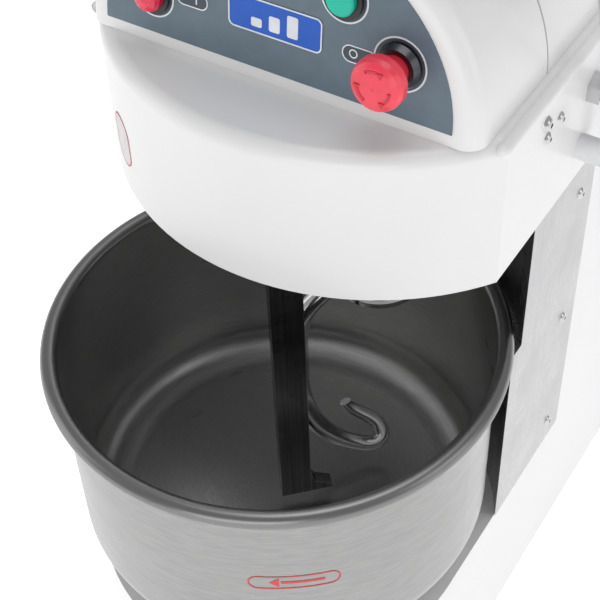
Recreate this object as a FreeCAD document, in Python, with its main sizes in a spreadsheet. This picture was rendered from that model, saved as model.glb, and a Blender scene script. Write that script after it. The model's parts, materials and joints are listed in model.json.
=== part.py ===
import FreeCAD, Part
import math
import os
import Sketcher

# Spiral dough mixer. Millimetres, Z up, front of the machine towards -Y.
# Every node is modelled with the bowl's axis on X = Y = 0 and then moved back by originY,
# so that the middle of the whole machine stands on the origin.

doc = FreeCAD.newDocument("mixer")
sheet = doc.addObject("Spreadsheet::Sheet", "sizes")
nodes = []
rowCount = 0


class Dim:
    """A length or count that keeps the sheet expression it was worked out from."""

    def __init__(self, value, text):
        self.value = float(value)
        self.text = text

    def __float__(self):
        return self.value

    def __add__(self, other):
        other = dim(other)
        return Dim(self.value + other.value, "(%s + %s)" % (self.text, other.text))

    def __sub__(self, other):
        other = dim(other)
        return Dim(self.value - other.value, "(%s - %s)" % (self.text, other.text))

    def __mul__(self, other):
        other = dim(other)
        return Dim(self.value * other.value, "(%s * %s)" % (self.text, other.text))

    def __truediv__(self, other):
        other = dim(other)
        return Dim(self.value / other.value, "(%s / %s)" % (self.text, other.text))

    def __radd__(self, other):
        return dim(other) + self

    def __rsub__(self, other):
        return dim(other) - self

    def __rmul__(self, other):
        return dim(other) * self

    def __neg__(self):
        return dim(0) - self


def dim(value):
    return value if isinstance(value, Dim) else Dim(value, repr(float(value)))


def cell(name, value):
    """Put one driving size in the sheet and hand it back."""
    global rowCount
    rowCount += 1
    sheet.set("A%d" % rowCount, name)
    sheet.set("B%d" % rowCount, str(value))
    sheet.setAlias("B%d" % rowCount, name)
    return Dim(value, "sizes." + name)


# ---- driving sizes -------------------------------------------------------------------------
originY = cell("originY", -163.75)

rimRadius = cell("rimRadius", 200)
rimHeight = cell("rimHeight", 461)
beadRadius = cell("beadRadius", 7.5)
bowlSheet = cell("bowlSheet", 2)
bowlFloor = cell("bowlFloor", 250)
bowlCorner = cell("bowlCorner", 35)
bowlWallRadius = rimRadius - 2 * beadRadius

halfWidth = cell("halfWidth", 177)
headHalf = cell("headHalf", 179)
bodyBack = cell("bodyBack", 500)
plateSheet = cell("plateSheet", 3)
footHeight = cell("footHeight", 25)
deckTop = cell("deckTop", 217)
headBottom = cell("headBottom", 578)
seamTop = cell("seamTop", 713)
skirtRadius = cell("skirtRadius", 220)
skirtCentre = cell("skirtCentre", 166)
skirtRounding = cell("skirtRounding", 12)
hoodHalf = cell("hoodHalf", 168)
hoodRise = cell("hoodRise", 150)
hoodFront = cell("hoodFront", 12.5)
hoodSplit = cell("hoodSplit", 120)
hoodRounding = cell("hoodRounding", 16)
hoodSheet = cell("hoodSheet", 3)
panelLean = cell("panelLean", 6)

coverSheet = cell("coverSheet", 1.5)
coverLow = cell("coverLowRadius", 200)
coverHigh = cell("coverHighRadius", 208)
coverStep = cell("coverStep", 444)
coverBack = cell("coverBack", 229)

cableX = cell("cableX", -110)
cableZ = cell("cableZ", 130)
cableBore = cell("cableBore", 5)

barWide = cell("barWide", 28)
barThick = cell("barThick", 13)
barX = cell("barX", 18)
barY = cell("barY", -10.5)
barTurn = cell("barTurn", 44)
barFoot = cell("barFoot", 268)
barTop = cell("barTop", 625)

spiralX = cell("spiralX", 51)
spiralY = cell("spiralY", 84.7)
spiralRadius = cell("spiralRadius", 73)
rodRadius = cell("rodRadius", 8)
tipRadius = cell("tipRadius", 5.5)
hubDisc = cell("hubDisc", 38)
hubBottom = cell("hubBottom", 478)
hubThick = cell("hubThick", 10)

layX = cell("layX", 50)
layY = cell("layY", 250)
downX = cell("downX", -60)
downY = cell("downY", 300)
motorX = cell("motorX", -75)
motorY = cell("motorY", 420)
shelfZ = cell("shelfZ", 600)
shelfSheet = cell("shelfSheet", 6)

chainPitch = cell("chainPitch", 12.7)
rollerRadius = cell("rollerRadius", 4.25)
sprocketThick = cell("sprocketThick", 7.2)
linkSheet = cell("linkSheet", 1.5)
linkHalf = cell("linkHalf", 5.5)
linkGap = cell("linkGap", 0.6)
teethLow = cell("teethLow", 10)
teethSpiral = cell("teethSpiral", 20)
teethDown = cell("teethDown", 45)
teethBowl = cell("teethBowl", 48)
chainBowlZ = cell("chainBowlZ", 84)
chainDownZ = cell("chainDownZ", 640)
chainSpiralZ = cell("chainSpiralZ", 670)

pulleyBig = cell("pulleyBig", 100)
pulleySmall = cell("pulleySmall", 31.5)
pulleyZ = cell("pulleyZ", 730)
pulleyThick = cell("pulleyThick", 18)
beltWide = cell("beltWide", 10)
beltDeep = cell("beltDeep", 8)

pivotY = cell("pivotY", 192)
pivotZ = cell("pivotZ", 661)
guardHalf = cell("guardHalf", 203)
guardRod = cell("guardRod", 4)
guardWire = cell("guardWire", 2.5)
guardLowZ = cell("guardLowZ", 482)
guardHighZ = cell("guardHighZ", 545)
guardReach = cell("guardReach", 100)
guardEndY = cell("guardEndY", 40)
guardOpen = cell("guardOpen", 100)
guardWires = cell("guardWires", 15)


# ---- small tools ---------------------------------------------------------------------------
def bind(obj, prop, value):
    """Set a property and, when it comes from the sheet, tie it to its cell."""
    value = dim(value)
    if prop.startswith("Placement") or "." in prop:
        if "sizes" in value.text:
            obj.setExpression(prop, value.text)
            return
        base = obj.Placement.Base
        setattr(base, prop[-1], value.value)
        obj.Placement.Base = base
        return
    setattr(obj, prop, value.value)
    if "sizes" in value.text:
        obj.setExpression(prop, value.text)


def turnTo(axis):
    """Rotation that lays the Z axis along the given axis."""
    return FreeCAD.Rotation(FreeCAD.Vector(0, 0, 1), FreeCAD.Vector(*axis))


def place(obj, x=0, y=0, z=0, rotation=None):
    if rotation is not None:
        obj.Placement = FreeCAD.Placement(FreeCAD.Vector(), rotation)
    bind(obj, "Placement.Base.x", x)
    bind(obj, "Placement.Base.y", y)
    bind(obj, "Placement.Base.z", z)
    return obj


def node(obj, label, x=0, y=0, z=0, rotation=None):
    """Name a finished sub-part and put it where it belongs in the machine."""
    obj.Label = label
    place(obj, x, originY + y, z, rotation)
    nodes.append(obj)
    return obj


def originPlane(body, role):
    return [f for f in body.Origin.OriginFeatures if f.Role == role][0]


def sketchOn(body, name, role="XY_Plane", height=0):
    sketch = body.newObject("Sketcher::SketchObject", name)
    sketch.AttachmentSupport = [(originPlane(body, role), "")]
    sketch.MapMode = "FlatFace"
    height = dim(height)
    sketch.AttachmentOffset = FreeCAD.Placement(FreeCAD.Vector(0, 0, height.value), FreeCAD.Rotation())
    if "sizes" in height.text:
        sketch.setExpression("AttachmentOffset.Base.z", height.text)
    return sketch


def pin(sketch, kind, geometry, point, value):
    """One driving constraint: a distance from the origin, or a radius."""
    value = dim(value)
    if kind == "Radius":
        k = sketch.addConstraint(Sketcher.Constraint(kind, geometry, value.value))
    else:
        k = sketch.addConstraint(Sketcher.Constraint(kind, -1, 1, geometry, point, value.value))
    if "sizes" in value.text:
        sketch.setExpression("Constraints[%d]" % k, value.text)


def polygon(sketch, points):
    first = sketch.GeometryCount
    count = len(points)
    corners = [FreeCAD.Vector(float(dim(x)), float(dim(y)), 0) for x, y in points]
    for i in range(count):
        sketch.addGeometry(Part.LineSegment(corners[i], corners[(i + 1) % count]), False)
    for i in range(count):
        following = first + (i + 1) % count
        sketch.addConstraint(Sketcher.Constraint("Coincident", first + i, 2, following, 1))
    for i, (x, y) in enumerate(points):
        pin(sketch, "DistanceX", first + i, 1, x)
        pin(sketch, "DistanceY", first + i, 1, y)


def circle(sketch, x, y, radius):
    centre = FreeCAD.Vector(float(dim(x)), float(dim(y)), 0)
    k = sketch.addGeometry(Part.Circle(centre, FreeCAD.Vector(0, 0, 1), float(dim(radius))), False)
    pin(sketch, "DistanceX", k, 3, x)
    pin(sketch, "DistanceY", k, 3, y)
    pin(sketch, "Radius", k, 0, radius)


def rectangle(sketch, x0, y0, x1, y1):
    polygon(sketch, [(x0, y0), (x1, y0), (x1, y1), (x0, y1)])


def newBody(name):
    return doc.addObject("PartDesign::Body", name)


def spin(body, name, sketch):
    turn = body.newObject("PartDesign::Revolution", name)
    turn.Profile = sketch
    turn.ReferenceAxis = (sketch, ["V_Axis"])
    turn.Angle = 360
    return turn


def turnedBody(name, profile):
    """Body of revolution: (radius, height) corners spun about its own Z axis."""
    body = newBody(name + "_body")
    sketch = sketchOn(body, name + "_profile", "XZ_Plane")
    polygon(sketch, profile)
    spin(body, name + "_turn", sketch)
    return body


def turned(label, profile, x=0, y=0, z=0, rotation=None):
    return node(turnedBody(label, profile), label, x, y, z, rotation)


def gathered(label, members):
    """One node for several like pieces; members are bodies already in their places."""
    together = doc.addObject("Part::Compound", label + "_set")
    together.Links = members
    return node(together, label)


def pad(body, name, sketch, length):
    feature = body.newObject("PartDesign::Pad", name)
    feature.Profile = sketch
    bind(feature, "Length", length)
    return feature


def pocketThrough(body, name, sketch):
    feature = body.newObject("PartDesign::Pocket", name)
    feature.Profile = sketch
    feature.Type = 1
    feature.Midplane = True
    return feature


def aroundZ(body, name, feature, sketch, count):
    pattern = body.newObject("PartDesign::PolarPattern", name)
    pattern.Originals = [feature]
    pattern.Axis = (sketch, ["N_Axis"])
    pattern.Angle = 360
    count = dim(count)
    pattern.Occurrences = int(count.value)
    if "sizes" in count.text:
        pattern.setExpression("Occurrences", count.text)
    body.Tip = pattern
    return pattern


def box(name, x0, y0, z0, x1, y1, z1):
    solid = doc.addObject("Part::Box", name)
    bind(solid, "Length", dim(x1) - x0)
    bind(solid, "Width", dim(y1) - y0)
    bind(solid, "Height", dim(z1) - z0)
    return place(solid, x0, y0, z0)


def cylinder(name, radius, z0, z1, x=0, y=0, rotation=None):
    solid = doc.addObject("Part::Cylinder", name)
    bind(solid, "Radius", radius)
    bind(solid, "Height", dim(z1) - z0)
    return place(solid, x, y, z0, rotation)


def fuse(name, solids):
    joined = doc.addObject("Part::MultiFuse", name)
    joined.Shapes = solids
    joined.Refine = True
    return joined


def common(name, base, tool):
    shared = doc.addObject("Part::Common", name)
    shared.Base = base
    shared.Tool = tool
    return shared


def cut(name, base, tools):
    result = base
    for i, tool in enumerate(tools):
        piece = doc.addObject("Part::Cut", "%s_%d" % (name, i + 1))
        piece.Base = result
        piece.Tool = tool
        result = piece
    return result


def roundEdges(name, base, radius, wanted):
    """Fillet the edges for which wanted(edge) is true."""
    doc.recompute()
    picked = [i + 1 for i, edge in enumerate(base.Shape.Edges) if wanted(edge)]
    rounded = doc.addObject("Part::Fillet", name)
    rounded.Base = base
    rounded.Edges = [(k, float(dim(radius)), float(dim(radius))) for k in picked]
    return rounded


def group(label, solids):
    """Several separate solids that are one kind of fastener."""
    feature = doc.addObject("Part::Feature", label + "_group")
    feature.Shape = Part.makeCompound(solids)
    return node(feature, label)


def at(x, y, z, axis=(0, 0, 1)):
    return FreeCAD.Placement(FreeCAD.Vector(float(x), float(y), float(z)), turnTo(axis))


def placed(shape, placement):
    copy = shape.copy()
    copy.Placement = placement
    return copy


def domeScrew(radius, height):
    """Round screw head along +Z, seated on z = 0."""
    ball = (radius * radius + height * height) / (2 * height)
    cap = Part.makeSphere(ball, FreeCAD.Vector(0, 0, height - ball))
    cap = cap.common(Part.makeCylinder(radius * 1.2, height))
    socket = Part.makeCylinder(radius * 0.3, height * 0.5, FreeCAD.Vector(0, 0, height * 0.5))
    return cap.cut(socket)


# ---- feet and base -------------------------------------------------------------------------
footSpots = ((-95, -95), (95, -95), (-140, 455), (140, 455))
gathered("feet", [
    place(turnedBody("foot_%d" % i, [(0, 0), (20, 0), (23, 3), (25, footHeight), (0, footHeight)]), x, y)
    for i, (x, y) in enumerate(footSpots)])


def yokePlan(name, inset, z0, z1):
    """Solid with the base's outline: straight sides and a half-round front."""
    sides = box(name + "_sides", -(halfWidth - inset), 0, z0, halfWidth - inset, bodyBack - inset, z1)
    front = cylinder(name + "_front", halfWidth - inset, z0, z1)
    return fuse(name, [sides, front])


base = cut("base_shell", yokePlan("base_outer", 0, footHeight, deckTop), [
    yokePlan("base_inner", plateSheet, footHeight - 1, deckTop - plateSheet),
    cylinder("deck_bore", 51, deckTop - 10, deckTop + 5),
    box("deck_window", -150, 235, deckTop - 10, 150, 485, deckTop + 5),
    cylinder("base_cable_bore", cableBore, 0, 40, cableX, bodyBack - 20, turnTo((0, 1, 0)))])
doc.getObject("base_cable_bore").setExpression("Placement.Base.z", cableZ.text)
node(base, "base_shell")

node(yokePlan("bottom_plate_solid", plateSheet + 0.3, footHeight, footHeight + 2), "bottom_plate")

# bowl bearing housing, hung under the deck
housing = newBody("bowl_housing_body")
sketch = sketchOn(housing, "bowl_housing_profile", "XZ_Plane")
polygon(sketch, [(31, 110), (31, 206), (21, 206), (21, 220), (50, 220), (50, deckTop - plateSheet),
                 (75, deckTop - plateSheet), (75, 204), (46, 204), (46, 104), (22, 104), (22, 110)])
spin(housing, "bowl_housing_turn", sketch)
node(housing, "bowl_housing")


def bearing(name, x, y, bottom):
    """Sealed ball bearing: its shields lie a little below the two rings."""
    bore, outer, width, land, dip = 17.55, 31, 14, 4, 0.8
    body = turnedBody(name, [
        (bore, 0), (bore + land, 0), (bore + land, dip), (outer - land, dip), (outer - land, 0), (outer, 0),
        (outer, width), (outer - land, width), (outer - land, width - dip), (bore + land, width - dip),
        (bore + land, width), (bore, width)])
    return place(body, x, y, bottom)


gathered("ball_bearings", [bearing("bowl_bearing_low", 0, 0, 110), bearing("bowl_bearing_high", 0, 0, 192),
                           bearing("spiral_bearing_low", spiralX, spiralY, 502.3),
                           bearing("spiral_bearing_high", spiralX, spiralY, 641)])


def seal(name, x, y, bottom, outer, high):
    return place(turnedBody(name, [(17.6, 0), (outer, 0), (outer - 1, high), (17.6, high)]), x, y, bottom)


gathered("shaft_seals", [seal("deck_seal", 0, 0, 220, 28, 6), seal("spiral_seal", spiralX, spiralY, 494.4, 20.9, 7)])


# ---- bowl ----------------------------------------------------------------------------------
bowl = newBody("bowl_body")
sketch = sketchOn(bowl, "bowl_profile", "XZ_Plane")
outside = bowlWallRadius + bowlSheet
polygon(sketch, [(0, bowlFloor - bowlSheet), (outside, bowlFloor - bowlSheet), (outside, rimHeight),
                 (bowlWallRadius, rimHeight), (bowlWallRadius, bowlFloor), (0, bowlFloor)])
wall = spin(bowl, "bowl_turn", sketch)
doc.recompute()


def circlesAt(shape, radius, height):
    """Names of the round edges with this radius at this height."""
    found = []
    for i, edge in enumerate(shape.Edges):
        round_ = hasattr(edge.Curve, "Radius") and abs(edge.Curve.Radius - float(radius)) < 0.01
        if round_ and abs(edge.BoundBox.ZMin - float(height)) < 0.01 and edge.BoundBox.ZLength < 0.01:
            found.append("Edge%d" % (i + 1))
    return found


inner = bowl.newObject("PartDesign::Fillet", "bowl_corner_inside")
inner.Base = (wall, circlesAt(wall.Shape, bowlWallRadius, bowlFloor))
bind(inner, "Radius", bowlCorner)
doc.recompute()
outer = bowl.newObject("PartDesign::Fillet", "bowl_corner_outside")
outer.Base = (inner, circlesAt(inner.Shape, outside, bowlFloor - bowlSheet))
bind(outer, "Radius", bowlCorner + bowlSheet)
sketch = sketchOn(bowl, "bead_profile", "XZ_Plane")
circle(sketch, rimRadius - beadRadius, rimHeight, beadRadius)
circle(sketch, rimRadius - beadRadius, rimHeight, beadRadius - bowlSheet)
spin(bowl, "bead_turn", sketch)
node(bowl, "bowl_shell")

turned("bowl_spindle", [(0, 60), (17.5, 60), (17.5, 229), (60, 229), (60, 238), (75, 240),
                        (75, bowlFloor - bowlSheet), (0, bowlFloor - bowlSheet)])


# ---- sprockets, chains, pulleys and belt ---------------------------------------------------
def pitchRadius(teeth):
    return float(chainPitch) / (2 * math.sin(math.pi / float(teeth)))


def sprocketBody(label, teeth, bore, hub, z, x, y, hubBelow=13):
    """Chain wheel: a disc whose rim is cut by the chain's rollers, on a plain hub."""
    pitch = pitchRadius(teeth)
    body = newBody(label + "_body")
    sketch = sketchOn(body, label + "_disc", "XY_Plane", z)
    circle(sketch, 0, 0, pitch + 2.9)
    circle(sketch, 0, 0, bore)
    pad(body, label + "_blank", sketch, sprocketThick)
    sketch = sketchOn(body, label + "_hub", "XY_Plane", z - hubBelow)
    circle(sketch, 0, 0, hub)
    circle(sketch, 0, 0, bore)
    pad(body, label + "_boss", sketch, hubBelow)
    sketch = sketchOn(body, label + "_gap", "XY_Plane", z)
    circle(sketch, pitch, 0, rollerRadius)
    gap = pocketThrough(body, label + "_gaps", sketch)
    aroundZ(body, label + "_teeth", gap, sketch, teeth)
    return place(body, x, y)


def sprocket(label, teeth, bore, hub, z, x, y, hubBelow=13):
    return node(sprocketBody(label, teeth, bore, hub, z, x, y, hubBelow), label, x, y)


def hull(a, radiusA, b, radiusB, z0, z1):
    """Solid between two circles and their outer tangents, from z0 up to z1."""
    a, b = FreeCAD.Vector(*a), FreeCAD.Vector(*b)
    along = b - a
    reach = along.Length
    lean = math.acos((radiusA - radiusB) / reach)
    heading = math.atan2(along.y, along.x)
    corners = []
    for centre, radius, side in ((a, radiusA, 1), (b, radiusB, 1), (b, radiusB, -1), (a, radiusA, -1)):
        angle = heading + side * lean
        corners.append(centre + FreeCAD.Vector(radius * math.cos(angle), radius * math.sin(angle), z0))
    middle = Part.Face(Part.makePolygon(corners + corners[:1])).extrude(FreeCAD.Vector(0, 0, z1 - z0))
    ends = [Part.makeCylinder(radius, z1 - z0, centre + FreeCAD.Vector(0, 0, z0))
            for centre, radius in ((a, radiusA), (b, radiusB))]
    return middle.fuse(ends).removeSplitter()


def loop(a, radiusA, b, radiusB, half, z0, z1):
    """Flat endless band round two circles, half wide on each side of the pitch line."""
    return hull(a, radiusA + half, b, radiusB + half, z0, z1).cut(
        hull(a, radiusA - half, b, radiusB - half, z0 - 1, z1 + 1))


def chain(label, a, teethA, b, teethB, z):
    """Roller chain: two side-plate bands, with the rollers of the two straight runs between."""
    radiusA, radiusB = pitchRadius(teethA), pitchRadius(teethB)
    gap, sheetMm, half = float(linkGap), float(linkSheet), float(linkHalf)
    z0, z1 = float(z) - gap, float(z) + float(sprocketThick) + gap
    start, end = FreeCAD.Vector(*a), FreeCAD.Vector(*b)
    reach = (end - start).Length
    heading = math.atan2(end.y - start.y, end.x - start.x)
    lean = math.acos((radiusA - radiusB) / reach)
    run = math.sqrt(reach ** 2 - (radiusA - radiusB) ** 2)
    rollers = []
    for side in (1, -1):
        angle = heading + side * lean
        normal = FreeCAD.Vector(math.cos(angle), math.sin(angle), 0)
        p, q = start + normal * radiusA, end + normal * radiusB
        clear = 3.2 * float(chainPitch)
        count = int((run - 2 * clear) / float(chainPitch))
        for k in range(count):
            spot = p + (q - p) * ((clear + k * float(chainPitch)) / run)
            foot = spot + FreeCAD.Vector(0, 0, z0)
            rollers.append(Part.makeCylinder(3.9, z1 - z0, foot))
    low = loop(a, radiusA, b, radiusB, half, z0 - sheetMm, z0)
    high = loop(a, radiusA, b, radiusB, half, z1, z1 + sheetMm)
    feature = doc.addObject("Part::Feature", label + "_loop")
    feature.Shape = low.fuse([high] + rollers)
    return node(feature, label)


def pulley(label, radius, bore, x, y):
    """Belt pulley with one groove."""
    top, bottom = pulleyZ + pulleyThick, pulleyZ
    side = (pulleyThick - beltWide) / 2 - 0.5
    floor = dim(radius) - beltDeep - 1
    body = newBody(label + "_body")
    sketch = sketchOn(body, label + "_profile", "XZ_Plane")
    polygon(sketch, [(bore, bottom), (radius, bottom), (radius, bottom + side), (floor, bottom + side + 1),
                     (floor, top - side - 1), (radius, top - side), (radius, top), (bore, top)])
    spin(body, label + "_turn", sketch)
    if float(dim(radius)) > 60:
        sketch = sketchOn(body, label + "_window", "XY_Plane", pulleyZ)
        circle(sketch, radius * 0.53, 0, 16)
        window = pocketThrough(body, label + "_cut", sketch)
        aroundZ(body, label + "_windows", window, sketch, 6)
    return node(body, label, x, y)


bowlAxis = (0.0, 0.0, 0.0)
downAxis = (float(downX), float(downY), 0.0)
layAxis = (float(layX), float(layY), 0.0)
motorAxis = (float(motorX), float(motorY), 0.0)
spiralAxis = (float(spiralX), float(spiralY), 0.0)

sprocket("bowl_sprocket", teethBowl, 17.5, 30, chainBowlZ, 0, 0)
sprocket("down_sprocket_low", teethLow, 10, 13, chainBowlZ, downX, downY)
sprocket("down_sprocket_high", teethDown, 10, 22, chainDownZ, downX, downY, 6)
gathered("lay_sprockets", [sprocketBody("lay_sprocket_low", teethLow, 12.5, 14, chainDownZ, layX, layY, 6),
                           sprocketBody("lay_sprocket_high", teethLow, 12.5, 14, chainSpiralZ, layX, layY)])
sprocket("spiral_sprocket", teethSpiral, 15, 24, chainSpiralZ, spiralX, spiralY)
chain("bowl_chain", bowlAxis, teethBowl, downAxis, teethLow, chainBowlZ)
chain("down_chain", downAxis, teethDown, layAxis, teethLow, chainDownZ)
chain("spiral_chain", layAxis, teethLow, spiralAxis, teethSpiral, chainSpiralZ)
pulley("lay_pulley", pulleyBig, 12.5, layX, layY)
pulley("motor_pulley", pulleySmall, 9.5, motorX, motorY)

beltZ = float(pulleyZ) + (float(pulleyThick) - float(beltWide)) / 2
beltRun = float(beltDeep) / 2
belt = doc.addObject("Part::Feature", "drive_belt_loop")
belt.Shape = loop(layAxis, float(pulleyBig) - beltRun, motorAxis, float(pulleySmall) - beltRun,
                  beltRun, beltZ + 1, beltZ + float(beltWide) - 1)
node(belt, "drive_belt")


# ---- shafts and their bearings -------------------------------------------------------------
turned("down_shaft", [(0, 36), (9, 36), (10, 37), (10, 654), (9, 655), (0, 655)], downX, downY)
turned("down_bearing_low", [(10.05, 27), (40, 27), (40, 35), (24, 35), (22, 60), (10.05, 60)], downX, downY)
shelfTop = shelfZ + shelfSheet
turned("down_bearing_high", [(10.05, shelfTop), (36, shelfTop), (36, shelfTop + 6), (22, shelfTop + 8),
                             (20, shelfTop + 26), (10.05, shelfTop + 26)], downX, downY)
turned("lay_shaft", [(0, 588), (11.5, 588), (12.5, 589), (12.5, 751), (11.5, 752), (0, 752)], layX, layY)
turned("lay_bearing", [(12.55, shelfTop), (36, shelfTop), (36, shelfTop + 6), (24, shelfTop + 8),
                       (22, shelfTop + 26), (12.55, shelfTop + 26)], layX, layY)

shelf = newBody("drive_shelf_body")
sketch = sketchOn(shelf, "drive_shelf_outline", "XY_Plane", shelfZ)
rectangle(sketch, plateSheet - headHalf, 222, headHalf - plateSheet, 490)
circle(sketch, downX, downY, 14)
circle(sketch, layX, layY, 16)
circle(sketch, motorX, motorY, 24)
pad(shelf, "drive_shelf_plate", sketch, shelfSheet)
node(shelf, "drive_shelf")


# ---- motor ---------------------------------------------------------------------------------
# case with cooling fins, hung by its top flange under the shelf, fan cover at the bottom
motorTop = shelfZ
case = [(0, 336), (58, 336), (66, 344), (66, 366), (64, 368)]
for k in range(9):
    low = 386 + 20 * k
    case += [(64, low), (70, low + 2), (70, low + 6), (64, low + 8)]
case += [(64, 586), (74, 589), (74, motorTop), (10, motorTop), (10, 580), (0, 580)]
turned("motor_case", case, motorX, motorY)
turned("motor_shaft", [(0, 581), (9.5, 581), (9.5, 751), (8.5, 752), (0, 752)], motorX, motorY)
node(box("control_box_solid", 0, 0, 0, 73, 120, 170), "control_box", halfWidth - plateSheet - 73, 300, 300)


# ---- column --------------------------------------------------------------------------------
column = cut("column_shell",
             box("column_outer", -halfWidth, 118, deckTop, halfWidth, bodyBack, headBottom), [
                 box("column_inner", plateSheet - halfWidth, 100, deckTop - 1,
                     halfWidth - plateSheet, bodyBack - plateSheet, headBottom + 1),
                 box("column_window", -150, 490, 240, 150, 510, 560)])
node(column, "column_shell")

outerHalf = halfWidth + coverSheet


def concave(name, radius, z0, z1):
    """Sheet bent to an arc about the bowl's axis, kept between the machine's sides."""
    outer = cylinder(name + "_outer", radius + coverSheet, z0, z1)
    inner = cylinder(name + "_inner", radius, z0 - 1, z1 + 1)
    arc = cut(name + "_sheet", outer, [inner])
    return common(name, arc, box(name + "_keep", -outerHalf, 60, z0, outerHalf, 260, z1))


def flange(name, side, y0, z0, z1):
    inside, outside = side * halfWidth, side * outerHalf
    if side < 0:
        inside, outside = outside, inside
    return box(name, inside, y0, z0, outside, coverBack, z1)


coverParts = [concave("cover_low", coverLow, deckTop + 0.5, coverStep),
              concave("cover_high", coverHigh, coverStep - coverSheet, headBottom - 0.5)]
ledge = cut("cover_ledge", cylinder("cover_ledge_disc", coverHigh + coverSheet, coverStep - coverSheet,
                                    coverStep),
            [cylinder("cover_ledge_bore", coverLow, coverStep - 5, coverStep + 5)])
coverParts.append(common("cover_step", ledge, box("cover_step_keep", -outerHalf, 60, coverStep - 5,
                                                  outerHalf, 260, coverStep + 5)))
for side in (-1, 1):
    coverParts.append(flange("cover_flange_low_%d" % side, side, 93, deckTop + 0.5, coverStep))
    coverParts.append(flange("cover_flange_high_%d" % side, side, 109.5, coverStep, headBottom - 0.5))
node(fuse("column_cover_solid", coverParts), "column_cover")
coverScrews = [placed(domeScrew(5.5, 3), at(side * float(outerHalf), 202, z, (side, 0, 0)))
               for side in (-1, 1) for z in (543, 393, 246)]

backCover = newBody("rear_cover_body")
sketch = sketchOn(backCover, "rear_cover_outline", "XZ_Plane", -bodyBack)
rectangle(sketch, -160, 60, 160, 700)
circle(sketch, cableX, cableZ, cableBore)
rear = pad(backCover, "rear_cover_plate", sketch, coverSheet)
rear.Reversed = True
sketch = sketchOn(backCover, "rear_cover_slot", "XZ_Plane", -bodyBack)
rectangle(sketch, -60, 330, 60, 334)
slot = pocketThrough(backCover, "rear_cover_vent", sketch)
vents = backCover.newObject("PartDesign::LinearPattern", "rear_cover_vents")
vents.Originals = [slot]
vents.Direction = (sketch, ["V_Axis"])
vents.Length = 190
vents.Occurrences = 20
backCover.Tip = vents
node(backCover, "rear_cover")
rearFace = float(bodyBack + coverSheet)
coverScrews += [placed(domeScrew(5.5, 3), at(side * 150, rearFace, z, (0, 1, 0)))
                for side in (-1, 1) for z in (75, 230, 380, 530, 685)]
group("cover_screws", coverScrews)
turned("cable_gland", [(cableBore, 0), (15, 0), (15, 7), (12, 8), (12, 22), (9, 26), (cableBore, 26)],
       cableX, bodyBack + coverSheet, cableZ, turnTo((0, 1, 0)))


# ---- head ----------------------------------------------------------------------------------
def headPlan(name, inset, z0, z1, back=None):
    """Solid with the head's outline: straight sides closed by a shallow arc in front."""
    back = bodyBack - inset if back is None else back
    half = headHalf - inset
    sides = box(name + "_sides", -half, 100, z0, half, back, z1)
    arc = cylinder(name + "_arc", skirtRadius - inset, z0, z1, 0, skirtCentre)
    front = common(name + "_front", arc, box(name + "_keep", -half, -80, z0, half, skirtCentre, z1))
    return fuse(name, [sides, front])


def topEdge(height, back):
    """Picks the edges round the top of the head, leaving out the one along the back."""
    def wanted(edge):
        box_ = edge.BoundBox
        return box_.ZMin > float(height) - 0.01 and box_.YMin < float(back) - 1
    return wanted


headInside = seamTop - plateSheet
headOuter = roundEdges("head_outer_round", headPlan("head_outer", 0, headBottom, seamTop),
                       skirtRounding, topEdge(seamTop, bodyBack))
beadZ, beadHalf = cell("sideBeadZ", 707), cell("sideBeadRadius", 5.5)


def sideBead(name, side):
    """Rolled edge along one side of the head, rounded off at its front end."""
    along = cylinder(name + "_roll", beadHalf, 0, bodyBack - 34, side * (headHalf - 2), 34, turnTo((0, 1, 0)))
    bind(along, "Placement.Base.z", beadZ)
    tip = doc.addObject("Part::Sphere", name + "_tip")
    bind(tip, "Radius", beadHalf)
    place(tip, side * (headHalf - 2), 34, beadZ)
    return [along, tip]


headOuter = fuse("head_outer_beaded", [headOuter] + sideBead("head_bead_left", -1)
                 + sideBead("head_bead_right", 1))
headInner = roundEdges("head_inner_round", headPlan("head_inner", plateSheet, headBottom - 5, headInside),
                       skirtRounding - plateSheet, topEdge(headInside, bodyBack - plateSheet))
alongX = turnTo((1, 0, 0))
head = cut("head_shell", headOuter, [
    headInner,
    box("head_window", -150, 34, seamTop - 20, 150, 480, seamTop + 5),
    place(doc.addObject("Part::Cylinder", "head_pivot_bore"), -headHalf - 5, pivotY, pivotZ, alongX)])
pivotBore = doc.getObject("head_pivot_bore")
bind(pivotBore, "Radius", 10.05)
bind(pivotBore, "Height", 2 * headHalf + 10)
node(head, "head_shell")

slotTurn = FreeCAD.Rotation(FreeCAD.Vector(0, 0, 1), float(barTurn))


def barBlock(name, wide, thick, z0, z1):
    """Block centred on the breaker bar and turned like it."""
    solid = doc.addObject("Part::Box", name)
    bind(solid, "Length", wide)
    bind(solid, "Width", thick)
    bind(solid, "Height", dim(z1) - z0)
    corner = slotTurn.multVec(FreeCAD.Vector(-float(dim(wide)) / 2, -float(dim(thick)) / 2, 0))
    solid.Placement = FreeCAD.Placement(
        FreeCAD.Vector(float(barX), float(barY), float(dim(z0))) + corner, slotTurn)
    return solid


headFloor = headBottom + plateSheet
bottomPlate = cut("head_bottom", headPlan("head_bottom_plan", plateSheet + 0.2, headBottom, headFloor, 233), [
    cylinder("spiral_bore", 40.2, headBottom - 5, headFloor + 5, spiralX, spiralY),
    barBlock("bar_slot", barWide + 1, barThick + 1, headBottom - 5, headFloor + 5)])
node(bottomPlate, "head_bottom_plate")


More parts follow.
